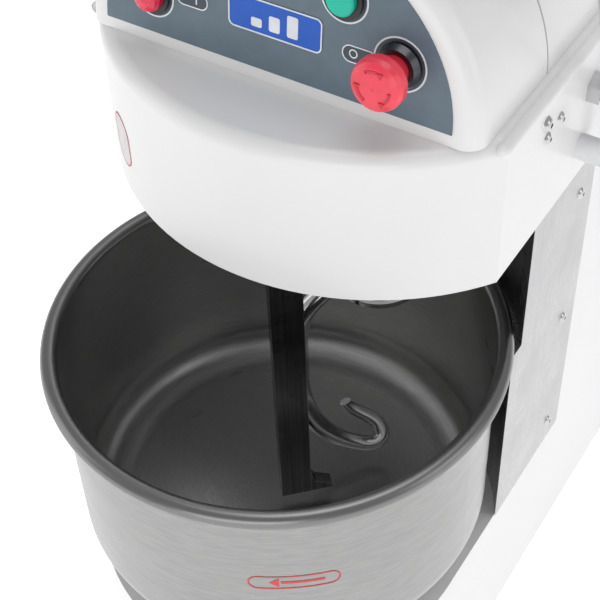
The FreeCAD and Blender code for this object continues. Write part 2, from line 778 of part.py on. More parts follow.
def archSolid(name, inset, y0, y1):
    """Half-elliptical tunnel standing on the head's top, from y0 back to y1."""
    oval = doc.addObject("Part::Ellipse", name + "_oval")
    bind(oval, "MajorRadius", hoodHalf - inset)
    bind(oval, "MinorRadius", hoodRise - inset)
    place(oval, 0, y0, seamTop, FreeCAD.Rotation(FreeCAD.Vector(1, 0, 0), 90))
    tunnel = doc.addObject("Part::Extrusion", name + "_tunnel")
    tunnel.Base = oval
    tunnel.DirMode = "Custom"
    tunnel.Dir = FreeCAD.Vector(0, 1, 0)
    bind(tunnel, "LengthFwd", dim(y1) - y0)
    tunnel.Solid = True
    return common(name, tunnel, box(name + "_above", -200, -50, seamTop, 200, 600, seamTop + 200))


leanBack = FreeCAD.Rotation(FreeCAD.Vector(1, 0, 0), -float(panelLean))


def leaned(name, inset):
    """Block that trims the hood's front to its leaning plane."""
    block = box(name, 0, 0, 0, 400, 100, 320)
    front = FreeCAD.Vector(0, float(hoodFront) + inset / math.cos(math.radians(float(panelLean))),
                           float(seamTop))
    block.Placement = FreeCAD.Placement(front + leanBack.multVec(FreeCAD.Vector(-200, -100, -20)), leanBack)
    return block


def wideArch(y0, y1):
    """Picks the arched edge lying between two depths."""
    def wanted(edge):
        box_ = edge.BoundBox
        return box_.ZLength > 60 and box_.XLength > 100 and box_.YMin > y0 and box_.YMax < y1
    return wanted


def rounded(name, solid, radius, y0, y1):
    return roundEdges(name, solid, radius, wideArch(y0, y1))


panelTurn = FreeCAD.Rotation(FreeCAD.Vector(1, 0, 0), 90 - float(panelLean))
panelOrigin = (0, hoodFront, seamTop)
panelUp = panelTurn.multVec(FreeCAD.Vector(0, 1, 0))
stopX, stopUp = cell("stopX", 104), cell("stopUp", 51)
startX, startUp = cell("startX", 59), cell("startUp", 87)
lampX, lampUp = cell("lampX", -102), cell("lampUp", 42)
switchHole = cell("switchHole", 12.4)
controlSpots = ((stopX, stopUp), (startX, startUp), (lampX, lampUp))


def onPanel(x, up):
    """Point of the leaning panel, x across and up along it from the seam."""
    return (x, hoodFront + up * panelUp.y, seamTop + up * panelUp.z)


def panelBore(name, x, up):
    bore = cylinder(name, switchHole, 0, 40)
    px, py, pz = onPanel(x, up)
    start = panelTurn.multVec(FreeCAD.Vector(0, 0, -20))
    bore.Placement = FreeCAD.Placement(FreeCAD.Vector(float(px), float(py), float(pz)) + start, panelTurn)
    return bore


sheetMm = float(hoodSheet)
frontOuter = rounded("hood_front_round", cut("hood_front_block", archSolid("hood_front_solid", 0, 0, hoodSplit),
                                             [leaned("hood_front_trim", 0)]), hoodRounding, 0, 40)
frontInner = rounded("hood_core_round", cut("hood_core_block", archSolid("hood_core_solid", sheetMm, 0,
                                                                         hoodSplit + 10),
                                            [leaned("hood_core_trim", sheetMm)]),
                     hoodRounding - hoodSheet, 0, 44)
node(cut("hood_front_shell", frontOuter, [frontInner] + [
    panelBore("hood_bore_%d" % i, x, up) for i, (x, up) in enumerate(controlSpots)]), "hood_front")

rearOuter = rounded("hood_rear_round", archSolid("hood_rear_solid", 0, hoodSplit + 2, bodyBack), 12,
                    float(bodyBack) - 1, float(bodyBack) + 1)
rearInner = rounded("hood_rear_core_round", archSolid("hood_rear_core", sheetMm, hoodSplit - 5,
                                                      bodyBack - hoodSheet), 9,
                    float(bodyBack) - 4, float(bodyBack))
node(cut("hood_rear_shell", rearOuter, [rearInner]), "hood_rear")

overlayHalf = cell("overlayHalf", 147)
overlayRise = cell("overlayRise", 127)
overlayFoot = cell("overlayFoot", 10)
overlaySheet = cell("overlaySheet", 1.2)
oval = doc.addObject("Part::Ellipse", "overlay_oval")
bind(oval, "MajorRadius", overlayHalf)
bind(oval, "MinorRadius", overlayRise)
place(oval, 0, overlayFoot, 0)
overlay = doc.addObject("Part::Extrusion", "overlay_disc")
overlay.Base = oval
overlay.DirMode = "Custom"
overlay.Dir = FreeCAD.Vector(0, 0, 1)
bind(overlay, "LengthFwd", overlaySheet)
overlay.Solid = True
half = common("overlay_half", overlay, box("overlay_keep", -200, overlayFoot, -1, 200, 200, 5))
holes = [cylinder("overlay_bore_%d" % i, switchHole, -2, 6, x, up) for i, (x, up) in enumerate(controlSpots)]
node(cut("overlay_plate", half, holes), "control_overlay", *panelOrigin, rotation=panelTurn)


# ---- controls ------------------------------------------------------------------------------
def control(label, profile, spot):
    """Turned control standing on the panel; height 0 is the panel's face."""
    x, y, z = onPanel(*spot)
    return turned(label, profile, x, y, z, panelTurn)


stopSpot, startSpot, lampSpot = controlSpots
bezel = [(9.3, -9), (12.3, -9), (12.3, 1.3), (15, 1.3), (15, 4.5), (11.3, 4.5), (11.3, -2.4), (9.3, -2.4)]
control("stop_collar", [(9.3, -9), (12.3, -9), (12.3, 1.3), (17, 1.3), (17, 4), (14.5, 9), (11.3, 9),
                        (11.3, -2.4), (9.3, -2.4)], stopSpot)
gathered("switch_bezels", [place(turnedBody(name, bezel), *onPanel(*spot), rotation=panelTurn)
                          for name, spot in (("start_bezel", startSpot), ("lamp_bezel", lampSpot))])
control("start_cap", [(0, -4), (8.9, -4), (8.9, 2.2), (11, 2.2), (11, 8), (9.8, 9), (0, 9)], startSpot)
control("stop_plunger", [(0, -4), (8.9, -4), (8.9, 4), (10.8, 4), (10.8, 20), (0, 20)], stopSpot)
control("stop_head", [(0, 20.3), (12, 20.3), (18, 23), (19.5, 26), (19.5, 32), (18, 36), (14.5, 38.2), (0, 39)],
        stopSpot)
control("lamp_lens", [(0, -2.4), (11.2, -2.4), (11.2, 9), (9.5, 12.5), (6, 14.5), (0, 15.4)], lampSpot)
blocks = []
for i, spot in enumerate(controlSpots):
    x, y, z = onPanel(*spot)
    corner = panelTurn.multVec(FreeCAD.Vector(-15, -19, -52))
    blocks.append(place(box("switch_block_%d" % i, 0, 0, 0, 30, 38, 38),
                        x + corner.x, y + corner.y, z + corner.z, panelTurn))
gathered("switch_blocks", blocks)


# ---- spiral --------------------------------------------------------------------------------
hubTop = hubBottom + hubThick
noseLow = hubTop + 6
turned("spiral_housing", [(31, noseLow + 8), (31, 656), (40, 656), (40, 591), (52, 591), (52, headFloor),
                          (40, headFloor), (36.5, 560), (36.5, noseLow), (21, noseLow), (21, noseLow + 8)],
       spiralX, spiralY)
turned("spiral_shaft", [(0, hubTop), (17.5, hubTop), (17.5, 656), (15, 656.5), (15, 689), (0, 689)],
       spiralX, spiralY)
turned("spiral_hub", [(0, hubBottom), (hubDisc - 3, hubBottom), (hubDisc, hubBottom + 3), (hubDisc, hubTop - 2),
                      (hubDisc - 2, hubTop), (0, hubTop)], spiralX, spiralY)


def onSpiral(angle, radius, height):
    """Point of the kneading rod: angle round its own axis, height from the bowl's rim plane."""
    a = math.radians(angle)
    return FreeCAD.Vector(radius * math.cos(a), radius * math.sin(a), float(rimHeight) + height)


reach = float(spiralRadius)
stations = [onSpiral(216, 0.38 * reach, 21), onSpiral(216, 0.68 * reach, 5), onSpiral(219, 0.89 * reach, -12),
            onSpiral(219, 0.99 * reach, -40), onSpiral(219, reach, -71), onSpiral(220, reach, -107),
            onSpiral(226, 0.91 * reach, -139), onSpiral(233, 0.73 * reach, -161), onSpiral(239, 0.54 * reach, -175),
            onSpiral(252, 0.34 * reach, -184), onSpiral(281, 0.22 * reach, -187), onSpiral(322, 0.15 * reach, -183),
            onSpiral(330, 0.05 * reach, -175), onSpiral(203, 0.16 * reach, -165), onSpiral(203, 0.42 * reach, -149)]
curve = Part.BSplineCurve()
curve.interpolate(stations)
spine = Part.Wire(curve.toShape())


def sectionAt(parameter, radius):
    point, direction = curve.value(parameter), curve.tangent(parameter)[0]
    return Part.Wire(Part.Circle(point, direction, radius).toShape())


first, last = curve.FirstParameter, curve.LastParameter
sweep = Part.BRepOffsetAPI.MakePipeShell(spine)
sweep.add(sectionAt(first, float(rodRadius)))
sweep.add(sectionAt(first + 0.8 * (last - first), float(rodRadius)))
sweep.add(sectionAt(last, float(tipRadius)))
sweep.build()
sweep.makeSolid()
rod = sweep.shape().cut(Part.makeCylinder(60, 60, FreeCAD.Vector(0, 0, float(hubBottom))))
feature = doc.addObject("Part::Feature", "spiral_rod_sweep")
feature.Shape = rod
node(feature, "spiral_rod", spiralX, spiralY)


# ---- breaker bar ---------------------------------------------------------------------------
bar = newBody("breaker_bar_body")
sketch = sketchOn(bar, "breaker_bar_section", "XY_Plane", barFoot)
rectangle(sketch, -barWide / 2, -barThick / 2, barWide / 2, barThick / 2)
pad(bar, "breaker_bar_length", sketch, barTop - barFoot)
sketch = sketchOn(bar, "breaker_bar_foot_section", "XZ_Plane")
polygon(sketch, [(barWide / 2 - 3, barFoot), (barWide / 2 + 20, barFoot), (barWide / 2 + 20, barFoot + 5),
                 (barWide / 2 + 5, barFoot + 12), (barWide / 2 + 2, barFoot + 19), (barWide / 2, barFoot + 31),
                 (barWide / 2 - 3, barFoot + 31)])
foot = pad(bar, "breaker_bar_foot", sketch, barThick - 1)
foot.Midplane = True
node(bar, "breaker_bar", barX, barY, 0, slotTurn)
clamp = cut("bar_clamp_cut", barBlock("bar_clamp_block", 44, 30, headFloor, headFloor + 26),
            [barBlock("bar_clamp_slot", barWide, barThick, headFloor - 5, headFloor + 40)])
node(clamp, "bar_clamp")


# ---- guard stops and side bolts ------------------------------------------------------------
sides = ((-1, "left"), (1, "right"))
stopY, stopZ, stopRadius = cell("guardStopY", 181), cell("guardStopZ", 609), cell("guardStopRadius", 10.75)
gathered("guard_stops", [
    place(turnedBody("guard_stop_" + name, [(0, 0), (stopRadius, 0), (stopRadius, 28.5), (stopRadius - 1.5, 30),
                                            (0, 30)]),
          side * headHalf, stopY, stopZ, turnTo((side, 0, 0))) for side, name in sides])


def guardBush(name, side):
    """Flanged bush through the head's side, with a hexagon and a collar outside."""
    hexagon = doc.addObject("Part::Prism", "guard_bush_hex_" + name)
    hexagon.Polygon = 6
    hexagon.Circumradius = 24 / math.sqrt(3)
    hexagon.Height = 11
    collar = fuse("guard_bush_collar_" + name, [hexagon, cylinder("guard_bush_tube_" + name, 10, -8, 5),
                                                cylinder("guard_bush_neck_" + name, 9.5, 5, 19)])
    bush = cut("guard_bush_" + name, collar, [cylinder("guard_bush_bore_" + name, 6.05, -10, 30)])
    return place(bush, side * headHalf, pivotY, pivotZ, turnTo((side, 0, 0)))


gathered("guard_bushes", [guardBush(name, side) for side, name in sides])
group("head_side_bolts", [
    placed(domeScrew(r, h), at(side * float(headHalf), y, z, (side, 0, 0)))
    for side in (-1, 1) for r, h, y, z in ((6.5, 4.6, 103, 684), (5.5, 3.6, 129, 672), (5.5, 3.6, 107, 668))])


# ---- guard: modelled closed over the bowl, then swung up about its pivots -------------------
pivot = FreeCAD.Vector(0, float(pivotY), float(pivotZ))
swing = FreeCAD.Placement(FreeCAD.Vector(0, float(originY), 0), FreeCAD.Rotation()).multiply(
    FreeCAD.Placement(pivot, FreeCAD.Rotation(FreeCAD.Vector(1, 0, 0), -float(guardOpen)))).multiply(
    FreeCAD.Placement(-pivot, FreeCAD.Rotation()))


def guardNode(label, shape):
    feature = doc.addObject("Part::Feature", label + "_shape")
    feature.Shape = shape
    feature.Label = label
    feature.Placement = swing
    nodes.append(feature)
    return feature


def rodAlong(path, radius):
    """Round rod following a wire, square cut at its start."""
    first = path.Edges[0]
    start, direction = first.valueAt(first.FirstParameter), first.tangentAt(first.FirstParameter)
    section = Part.Wire(Part.Circle(start, direction, radius).toShape())
    return path.makePipeShell([section], True, True)


guardX, endY = float(guardHalf), float(guardEndY)
lowZ, highZ = float(guardLowZ), float(guardHighZ)
rodMm, wireMm = float(guardRod), float(guardWire)


left, right = FreeCAD.Vector(-guardX, 0, lowZ), FreeCAD.Vector(guardX, 0, lowZ)
lowPath = Part.Wire([
    Part.makeLine(FreeCAD.Vector(-guardX, endY, lowZ), left),
    Part.Arc(left, FreeCAD.Vector(0, -guardX, lowZ), right).toShape(),
    Part.makeLine(right, FreeCAD.Vector(guardX, endY, lowZ))])
highArc = Part.Arc(FreeCAD.Vector(-guardX, endY, highZ), FreeCAD.Vector(0, -float(guardReach), highZ),
                   FreeCAD.Vector(guardX, endY, highZ))
hoopLow = rodAlong(lowPath, rodMm)
hoopHigh = rodAlong(Part.Wire(highArc.toShape()), rodMm)
guardNode("guard_hoop_low", hoopLow)
guardNode("guard_hoop_high", hoopHigh)

highCircle = highArc.toShape().Curve
wires = []
wireCount = int(float(guardWires))
for k in range(wireCount):
    share = (k + 0.5) / wireCount
    angle = math.pi * (1 + share)
    low = FreeCAD.Vector(guardX * math.cos(angle), guardX * math.sin(angle), lowZ)
    spread = math.asin(guardX / highCircle.Radius) * (2 * share - 1)
    high = highCircle.Center + FreeCAD.Vector(math.sin(spread), -math.cos(spread), 0) * highCircle.Radius
    rod = Part.makeCylinder(wireMm, (high - low).Length, low, high - low)
    wires.append(rod.cut(hoopLow).cut(hoopHigh))
for side in (-1, 1):
    post = Part.makeCylinder(wireMm, highZ - lowZ, FreeCAD.Vector(side * guardX, endY - wireMm, lowZ))
    wires.append(post.cut(hoopLow).cut(hoopHigh))
guardNode("guard_wires", Part.makeCompound(wires))

# arms: bent rods rising from an eye on each pivot, with a short tail that rests on the stop
armRod, eyeHalf = 4.5, 4.0
armReach = FreeCAD.Vector(0, endY - float(pivotY), highZ - float(pivotZ))
armHeading = math.atan2(armReach.z, armReach.y)
stopAngle = math.atan2(float(stopZ - pivotZ), float(stopY - pivotY))
tailAngle = stopAngle + math.radians(19.0 + float(guardOpen))
arms, pins = [], []
for side, name in sides:
    centre = FreeCAD.Vector(side * guardX, float(pivotY), float(pivotZ))
    bulge = armHeading + math.radians(5)
    middle = centre + FreeCAD.Vector(0, 0.5 * armReach.Length * math.cos(bulge),
                                     0.5 * armReach.Length * math.sin(bulge))
    arm = rodAlong(Part.Wire(Part.Arc(centre, middle, centre + armReach).toShape()), armRod)
    face = centre - FreeCAD.Vector(eyeHalf, 0, 0)
    across = FreeCAD.Vector(1, 0, 0)
    eye = Part.makeCylinder(14, 2 * eyeHalf, face, across)
    tip = FreeCAD.Vector(0, 46 * math.cos(tailAngle), 46 * math.sin(tailAngle))
    tail = Part.makeCylinder(6, 2 * eyeHalf, face + tip, across)
    edge = FreeCAD.Vector(0, -math.sin(tailAngle), math.cos(tailAngle)) * 6
    web = Part.Face(Part.makePolygon([face + edge, face + tip + edge, face + tip - edge, face - edge,
                                      face + edge])).extrude(across * (2 * eyeHalf))
    bore = Part.makeCylinder(6, 2 * eyeHalf + 4, face - across * 2, across)
    arms.append(arm.fuse([eye, tail, web]).cut(bore).cut(hoopHigh))
    inner = FreeCAD.Vector(side * (guardX - 32), centre.y, centre.z)
    outward = FreeCAD.Vector(side, 0, 0)
    shank = Part.makeCylinder(6, 36 + 0.2, inner, outward)
    cap = Part.makeCone(10, 8, 4.5, inner + outward * 36.2, outward)
    pins.append(shank.fuse(cap))
guardNode("guard_arms", Part.makeCompound(arms))
guardNode("guard_pins", Part.makeCompound(pins))


# ---- check and write -----------------------------------------------------------------------
doc.recompute()
for obj in doc.Objects:
    wrong = [state for state in obj.State if state in ("Invalid", "Error")]
    if wrong:
        raise RuntimeError("%s: %s" % (obj.Label, ", ".join(wrong)))
os.makedirs("parts", exist_ok=True)
for name in os.listdir("parts"):
    if name.endswith(".step"):
        os.remove(os.path.join("parts", name))
for obj in nodes:
    if obj.Shape.isNull() or not obj.Shape.isValid() or not obj.Shape.Solids:
        raise RuntimeError("%s has no valid solid" % obj.Label)
    obj.Shape.exportStep(os.path.join("parts", obj.Label + ".step"))
whole = Part.makeCompound([obj.Shape for obj in nodes]).BoundBox
print("%d nodes, %.1f x %.1f x %.1f, y %.1f to %.1f" % (
    len(nodes), whole.XLength, whole.YLength, whole.ZLength, whole.YMin, whole.YMax))
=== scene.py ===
import bmesh
import bpy
import json
import math
from mathutils import Matrix, Vector


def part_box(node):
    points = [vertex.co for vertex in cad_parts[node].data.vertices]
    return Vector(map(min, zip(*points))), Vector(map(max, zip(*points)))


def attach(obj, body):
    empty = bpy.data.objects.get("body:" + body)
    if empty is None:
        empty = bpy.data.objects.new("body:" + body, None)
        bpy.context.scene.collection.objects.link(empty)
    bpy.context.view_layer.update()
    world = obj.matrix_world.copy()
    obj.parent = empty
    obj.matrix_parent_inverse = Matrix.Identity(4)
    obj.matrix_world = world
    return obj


# Spiral dough mixer: the CAD nodes keep their shapes and get their finishes here, and the printed,
# moulded and pressed detail is modelled on top of them.

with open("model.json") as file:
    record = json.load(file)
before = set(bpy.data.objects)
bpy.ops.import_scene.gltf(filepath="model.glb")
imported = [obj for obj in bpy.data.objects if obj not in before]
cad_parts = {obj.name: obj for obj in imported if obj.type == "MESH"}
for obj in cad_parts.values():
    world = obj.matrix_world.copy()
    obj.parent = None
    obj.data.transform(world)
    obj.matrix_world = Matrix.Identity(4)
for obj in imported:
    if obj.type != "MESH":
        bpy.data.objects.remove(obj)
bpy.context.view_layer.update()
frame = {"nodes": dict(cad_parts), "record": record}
nodes = frame["nodes"]
scene = bpy.context.scene

bowlY = sum(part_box("bowl_spindle")[k][1] for k in (0, 1)) / 2  # the bowl's axis stands at x = 0, y = bowlY
mm = 0.001


# helpers for the shaders
class Wire:
    # a socket that can be used in sums; each sum adds its own node
    def __init__(self, paint, socket):
        self.paint = paint
        self.socket = socket

    def math(self, operation, first, second=None):
        sockets = {0: first} if second is None else {0: first, 1: second}
        return self.paint.node("ShaderNodeMath", {"operation": operation}, sockets)

    def __add__(self, other):
        return self.math("ADD", self, other)

    def __radd__(self, other):
        return self.math("ADD", other, self)

    def __sub__(self, other):
        return self.math("SUBTRACT", self, other)

    def __rsub__(self, other):
        return self.math("SUBTRACT", other, self)

    def __mul__(self, other):
        return self.math("MULTIPLY", self, other)

    def __rmul__(self, other):
        return self.math("MULTIPLY", other, self)

    def root(self):
        return self.math("SQRT", self)


class Paint:
    # one material: its nodes, and the shader that they feed
    def __init__(self, name, **fixed):
        self.material = bpy.data.materials.new(name)
        self.material.use_nodes = True
        self.tree = self.material.node_tree
        self.shader = [n for n in self.tree.nodes if n.type == "BSDF_PRINCIPLED"][0]
        for socket, value in fixed.items():
            self.shader.inputs[socket.replace("_", " ")].default_value = value

    def node(self, kind, settings=None, sockets=None, out=0):
        made = self.tree.nodes.new(kind)
        for name, value in (settings or {}).items():
            setattr(made, name, value)
        for name, value in (sockets or {}).items():
            if isinstance(value, Wire):
                self.tree.links.new(value.socket, made.inputs[name])
            else:
                made.inputs[name].default_value = value
        return Wire(self, made.outputs[out])

    def place(self):
        # the point shaded, in metres from the object's origin
        return self.node("ShaderNodeTexCoord", out="Object")

    def parts(self, vector):
        return [self.node("ShaderNodeSeparateXYZ", None, {0: vector}, out=k) for k in range(3)]

    def join(self, x, y, z):
        return self.node("ShaderNodeCombineXYZ", None, {0: x, 1: y, 2: z})

    def noise(self, vector, scale, detail=2.0, rough=0.5):
        return self.node("ShaderNodeTexNoise", None,
                         {"Vector": vector, "Scale": scale, "Detail": detail, "Roughness": rough})

    def fit(self, value, low, high, fromLow=0.3, fromHigh=0.7):
        # value between fromLow and fromHigh becomes low to high
        ends = {"From Min": fromLow, "From Max": fromHigh, "To Min": low, "To Max": high}
        return self.node("ShaderNodeMapRange", None, {"Value": value, **ends})

    def blend(self, share, first, second):
        # the Mix node has a set of sockets for each kind of data, so the colour ones are picked by type
        made = self.tree.nodes.new("ShaderNodeMix")
        made.data_type = "RGBA"
        colours = [s for s in made.inputs if s.type == "RGBA"]
        for socket, value in ((made.inputs[0], share), (colours[0], first), (colours[1], second)):
            if isinstance(value, Wire):
                self.tree.links.new(value.socket, socket)
            else:
                socket.default_value = (*value, 1)
        return Wire(self, [s for s in made.outputs if s.type == "RGBA"][0])

    def feed(self, socket, wire):
        self.tree.links.new(wire.socket, self.shader.inputs[socket])

    def bump(self, height, depth, strength=1.0):
        sockets = {"Height": height, "Distance": depth, "Strength": strength}
        self.feed("Normal", self.node("ShaderNodeBump", None, sockets))

    def cornerHighlight(self, reach):
        # 0 on flats, up to 1 along outside corners: the mask for a painted highlight
        soft = self.node("ShaderNodeBevel", {"samples": 4}, {"Radius": reach})
        sharp = self.node("ShaderNodeNewGeometry", out="Normal")
        match = self.node("ShaderNodeVectorMath", {"operation": "DOT_PRODUCT"}, {0: soft, 1: sharp},
                          out="Value")
        return self.fit(match, 1, 0, 0.75, 0.99)


def powderWhite(name, base):
    paint = Paint(name, Coat_Weight=0.35, Coat_Roughness=0.12)
    at = paint.place()
    patch = paint.noise(at, 9, 3)
    peel = paint.noise(at, 620, 2, 0.55)
    dust = paint.noise(at, 160, 4, 0.7)
    paint.feed("Base Color", paint.blend(paint.fit(patch, 0, 1), tuple(c * 0.97 for c in base), base))
    paint.feed("Roughness", paint.fit(dust, 0.30, 0.40))
    paint.bump(peel, 0.00006, 0.35)
    return paint.material


# radii in metres between which the spun steel's colour changes, and its colours. Inside and outside are one
# steel: the darker outside colour is painted shade and the lighter inside colour painted light; the rim band
# is darker still
spun = {"insideFrom": 0.1853, "insideTo": 0.1862, "rimFrom": 0.1905, "rimTo": 0.1925,
        "outside": ((0.31, 0.309, 0.306), (0.355, 0.354, 0.351)),
        "inside": ((0.43, 0.428, 0.425), (0.50, 0.498, 0.494)), "rim": (0.22, 0.219, 0.217)}


def roundTheBowl(paint, at):
    # coordinates for marks that run round the bowl's axis: slow along the turn, fast across it
    x, y, z = paint.parts(at)
    y = y - bowlY
    turn = paint.node("ShaderNodeMath", {"operation": "ARCTAN2"}, {0: y, 1: x})
    radius = (x * x + y * y).root()
    return radius, turn, z, paint.join(turn * 1.2, radius * 90, z * 90)


def spunSteel(name):
    paint = Paint(name, Metallic=1.0)
    at = paint.place()
    radius, turn, z, run = roundTheBowl(paint, at)
    fine = paint.noise(run, 8, 2, 0.5)
    wide = paint.noise(run, 0.5, 2, 0.5)
    haze = paint.noise(at, 9, 2, 0.5)
    # painted light and shade: the inside of the bowl gets a lighter copy of the same steel than the outside
    inside = paint.fit(radius, 1, 0, spun["insideFrom"], spun["insideTo"])
    outer = paint.blend(paint.fit(fine, 0, 1, 0.35, 0.65), *spun["outside"])
    inner = paint.blend(paint.fit(fine, 0, 1, 0.35, 0.65), *spun["inside"])
    rim = paint.fit(radius, 0, 1, spun["rimFrom"], spun["rimTo"])
    skin = paint.blend(rim, outer, spun["rim"])
    paint.feed("Base Color", paint.blend(inside, skin, inner))
    paint.feed("Roughness", paint.fit(haze, 0.27, 0.33) + paint.fit(wide, -0.02, 0.03))
    paint.bump(fine, 0.00001, 0.35)
    return paint.material


def grainedSteel(name):
    # rolled sheet: scratches drawn out upright
    paint = Paint(name, Metallic=1.0)
    at = paint.place()
    run = paint.node("ShaderNodeMapping", None, {"Vector": at, "Scale": (700, 700, 6)})
    fine = paint.noise(run, 1, 3, 0.6)
    haze = paint.noise(at, 18, 3, 0.6)
    grain = paint.fit(fine, 0, 1, 0.35, 0.65)
    paint.feed("Base Color", paint.blend(grain, (0.38, 0.38, 0.388), (0.48, 0.48, 0.488)))
    paint.feed("Roughness", paint.fit(haze, 0.22, 0.34) + paint.fit(fine, -0.03, 0.04))
    paint.bump(fine, 0.00002, 0.6)
    return paint.material


def polishedSteel(name, base=(0.62, 0.62, 0.63), low=0.10, high=0.22):
    paint = Paint(name, Metallic=1.0)
    at = paint.place()
    haze = paint.noise(at, 60, 4, 0.6)
    scuff = paint.noise(at, 900, 2, 0.6)
    paint.feed("Base Color", paint.blend(paint.fit(haze, 0, 1), tuple(c * 0.82 for c in base), base))
    paint.feed("Roughness", paint.fit(haze, low, high) + paint.fit(scuff, -0.02, 0.03))
    paint.bump(scuff, 0.00001, 0.4)
    return paint.material


def paintedReflectionSteel(name):
    # bright steel seen against the dark: the flat faces get a nearly black painted dark reflection and the
    # corners a painted highlight
    paint = Paint(name, Metallic=1.0)
    at = paint.place()
    run = paint.node("ShaderNodeMapping", None, {"Vector": at, "Scale": (500, 500, 8)})
    fine = paint.noise(run, 1, 3, 0.6)
    haze = paint.noise(at, 25, 3)
    flat = paint.blend(paint.fit(fine, 0, 1, 0.35, 0.65), (0.09, 0.09, 0.094), (0.14, 0.14, 0.145))
    paint.feed("Base Color", paint.blend(paint.cornerHighlight(0.0015), flat, (0.42, 0.42, 0.43)))
    paint.feed("Roughness", paint.fit(haze, 0.20, 0.34))
    paint.bump(fine, 0.00002, 0.5)
    return paint.material


def castIron(name, base):
    paint = Paint(name, Metallic=0.55)
    at = paint.place()
    grain = paint.noise(at, 420, 4, 0.65)
    patch = paint.noise(at, 40, 3)
    paint.feed("Base Color", paint.blend(paint.fit(patch, 0, 1), tuple(c * 0.7 for c in base), base))
    paint.feed("Roughness", paint.fit(grain, 0.50, 0.68))
    paint.bump(grain, 0.0003, 0.7)
    return paint.material


def oiledSteel(name):
    paint = Paint(name, Metallic=1.0)
    at = paint.place()
    patch = paint.noise(at, 55, 4, 0.6)
    fine = paint.noise(at, 700, 2)
    paint.feed("Base Color", paint.blend(paint.fit(patch, 0, 1), (0.24, 0.235, 0.22), (0.46, 0.455, 0.44)))
    paint.feed("Roughness", paint.fit(patch, 0.26, 0.44))
    paint.bump(fine, 0.00003, 0.5)
    return paint.material


def castAluminium(name):
    paint = Paint(name, Metallic=0.9)
    at = paint.place()
    grain = paint.noise(at, 520, 3, 0.6)
    patch = paint.noise(at, 30, 3)
    paint.feed("Base Color", paint.blend(paint.fit(patch, 0, 1), (0.40, 0.405, 0.41), (0.54, 0.545, 0.55)))
    paint.feed("Roughness", paint.fit(grain, 0.40, 0.55))
    paint.bump(grain, 0.0002, 0.6)
    return paint.material


def moulded(name, base, low, high, grainScale=900, depth=0.00003, coat=0.0):
    paint = Paint(name, Coat_Weight=coat, Coat_Roughness=0.08)
    at = paint.place()
    grain = paint.noise(at, grainScale, 2, 0.5)
    patch = paint.noise(at, 70, 3)
    paint.feed("Base Color", paint.blend(paint.fit(patch, 0, 1), tuple(c * 0.88 for c in base), base))
    paint.feed("Roughness", paint.fit(grain, low, high))
    paint.bump(grain, depth, 0.5)
    return paint.material


finishes = {
    "white_paint": powderWhite("powderWhite", (0.80, 0.80, 0.80)),
    "stainless_bowl": spunSteel("spunSteel"),
    "stainless_sheet": grainedSteel("rolledSheet"),
    "polished_steel": polishedSteel("polishedSteel"),
    "dark_steel": paintedReflectionSteel("paintedReflectionSteel"),
    "chrome_wire": polishedSteel("chromedRod", (0.74, 0.74, 0.75), 0.05, 0.13),
    "rubber": moulded("blackRubber", (0.022, 0.022, 0.023), 0.55, 0.75, 500, 0.0001),
    "cast_iron": castIron("castIron", (0.11, 0.115, 0.12)),
    "machined_steel": oiledSteel("oiledSteel"),
    "cast_aluminium": castAluminium("castAluminium"),
    "black_plastic": moulded("blackPlastic", (0.020, 0.021, 0.023), 0.32, 0.46),
    "slate_panel": moulded("slateFilm", (0.118, 0.170, 0.213), 0.36, 0.46, 1400, 0.00003),
    "red_plastic": moulded("redPlastic", (0.90, 0.045, 0.085), 0.28, 0.38, 900, 0.00002, 0.25),
    "green_plastic": moulded("greenPlastic", (0.002, 0.56, 0.40), 0.36, 0.48, 900, 0.00002),
    "red_lens": moulded("redLens", (0.80, 0.0, 0.055), 0.12, 0.20, 500, 0.00002, 0.6),
    "white_nylon": moulded("whiteNylon", (0.80, 0.81, 0.83), 0.34, 0.46)}

darkRed = moulded("darkRed", (0.64, 0.022, 0.05), 0.30, 0.42)
printWhite = moulded("printWhite", (0.78, 0.81, 0.84), 0.40, 0.50, 1400)
printRed = moulded("printRed", (0.66, 0.05, 0.06), 0.42, 0.52, 1400)
slateDark = moulded("slateDark", (0.045, 0.062, 0.085), 0.36, 0.46, 1400)
plateBlue = moulded("plateBlue", (0.004, 0.10, 0.55), 0.40, 0.50, 1400, 0.00002)
stickerWhite = moulded("stickerWhite", (0.74, 0.73, 0.73), 0.40, 0.50, 1400)


def dress(thing, material):
    thing.data.materials.clear()
    thing.data.materials.append(material)


slotOf = {part["node"]: part["material_slot"] for part in frame["record"]["subparts"]}
for name, thing in nodes.items():
    dress(thing, finishes[slotOf[name]])
dress(nodes["stop_plunger"], darkRed)
dress(nodes["stop_collar"], polishedSteel("collarSteel", (0.10, 0.105, 0.115), 0.22, 0.32))
print("finishes on", len(nodes), "nodes")


# helpers for modelling
def deselect():
    bpy.ops.object.select_all(action="DESELECT")


def active(thing):
    deselect()
    thing.select_set(True)
    bpy.context.view_layer.objects.active = thing
    return thing


def named(name, material):
    thing = bpy.context.active_object
    thing.name = thing.data.name = name
    dress(thing, material)
    return thing


def settle(thing, matrix):
    # the place goes into the mesh, and the object stays at the origin
    active(thing)
    bpy.ops.object.transform_apply(location=True, rotation=True, scale=True)
    thing.data.transform(matrix)


def thickened(thing, thick):
    active(thing)
    wall = thing.modifiers.new("wall", "SOLIDIFY")
    wall.thickness = thick
    wall.offset = 1
    bpy.ops.object.modifier_apply(modifier=wall.name)


def outward(thing):
    active(thing)
    bpy.ops.object.mode_set(mode="EDIT")
    bpy.ops.mesh.select_all(action="SELECT")
    bpy.ops.mesh.remove_doubles(threshold=0.000001)
    bpy.ops.mesh.normals_make_consistent(inside=False)
    bpy.ops.object.mode_set(mode="OBJECT")
    return thing


